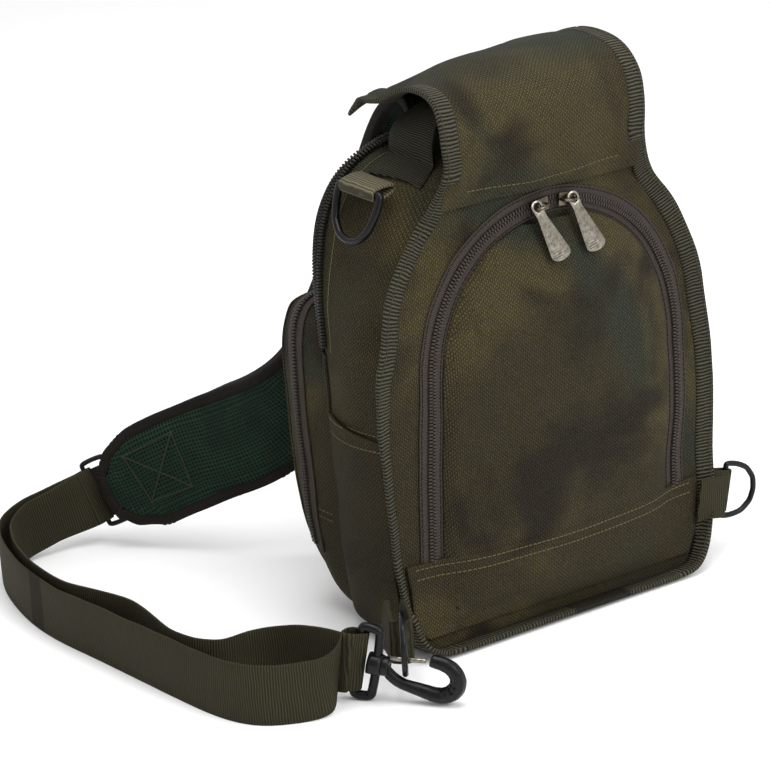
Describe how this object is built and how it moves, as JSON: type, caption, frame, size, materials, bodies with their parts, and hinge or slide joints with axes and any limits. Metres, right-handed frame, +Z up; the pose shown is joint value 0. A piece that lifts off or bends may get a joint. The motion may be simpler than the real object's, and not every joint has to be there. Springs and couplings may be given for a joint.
{
  "type": "fishing tackle sling bag",
  "caption": "Soft fishing tackle sling bag with an arched front pocket, rear compartment, top flap over a grab handle, padded shoulder strap and snap hook.",
  "frame": {"origin": "middle of the bag's base, on the floor it stands on", "axes": "+X to the right as seen from the front pocket, -Y the way the front pocket faces, +Z up"},
  "size_m": [0.4522, 0.4073, 0.3709],
  "materials": {
    "cloth": "coarse woven bag cloth in dark olive brown with a soft blotched pattern",
    "webbing": "ribbed webbing and binding tape in dark olive grey",
    "tape": "mauve brown zip tape with a coil of the same colour",
    "mesh": "dark green spacer mesh over foam",
    "plastic": "black moulded plastic with a soft sheen",
    "nickel": "antique nickel with dark hollows"
  },
  "bodies": {
    "bag": {"gusset": "cloth", "front_panel": "cloth", "back_wall": "cloth", "rear_gusset": "cloth", "rear_panel": "cloth", "welt_right": "cloth", "welt_left": "cloth", "side_pocket": "cloth", "front_pocket": "cloth", "bottom_band": "cloth", "flap": "cloth", "edge_binding": "webbing", "grab_handle": "webbing", "side_ring_tab": "webbing", "corner_tab_right": "webbing", "corner_tab_left": "webbing", "pad_binding": "webbing", "pad_tab": "webbing", "strap": "webbing", "rear_zip_tape": "tape", "rear_zip_coil": "tape", "front_zip_tape": "tape", "front_zip_coil": "tape", "shoulder_pad": "mesh", "main_zip": "plastic", "corner_ring_left": "plastic", "hook_frame": "plastic", "hook_body": "plastic", "adjuster": "plastic", "slider_left": "nickel", "slider_right": "nickel"},
    "side_ring": {"side_ring": "plastic"},
    "right_ring": {"corner_ring_right": "plastic"},
    "gate": {"hook_gate": "nickel"},
    "left_pull": {"zip_pull_left": "nickel"},
    "right_pull": {"zip_pull_right": "nickel"}
  },
  "joints": [
    {"name": "side_ring_swing", "type": "hinge", "parent": "bag", "child": "side_ring", "pos_m": [-0.10357, 0.00194, 0.29699], "axis": [0, 1, 0], "range_deg": [0, 100]},
    {"name": "right_ring_swing", "type": "hinge", "parent": "bag", "child": "right_ring", "pos_m": [0.146, -0.042, 0.043], "axis": [-0.2, 0, -0.9798], "range_deg": [-70, 70]},
    {"name": "gate_press", "type": "hinge", "parent": "bag", "child": "gate", "pos_m": [-0.16293, -0.09206, 0.02869], "axis": [-0.7585, -0.6516, 0], "range_deg": [-15, 0], "stiffness_Nm_per_rad": 0.05},
    {"name": "left_pull_swing", "type": "hinge", "parent": "bag", "child": "left_pull", "pos_m": [-0.00876, -0.0537, 0.27669], "axis": [0, -0.9664, -0.2571], "range_deg": [-12, 12]},
    {"name": "right_pull_swing", "type": "hinge", "parent": "bag", "child": "right_pull", "pos_m": [0.01968, -0.0535, 0.27718], "axis": [0, -0.9664, -0.2571], "range_deg": [-12, 12]}
  ]
}
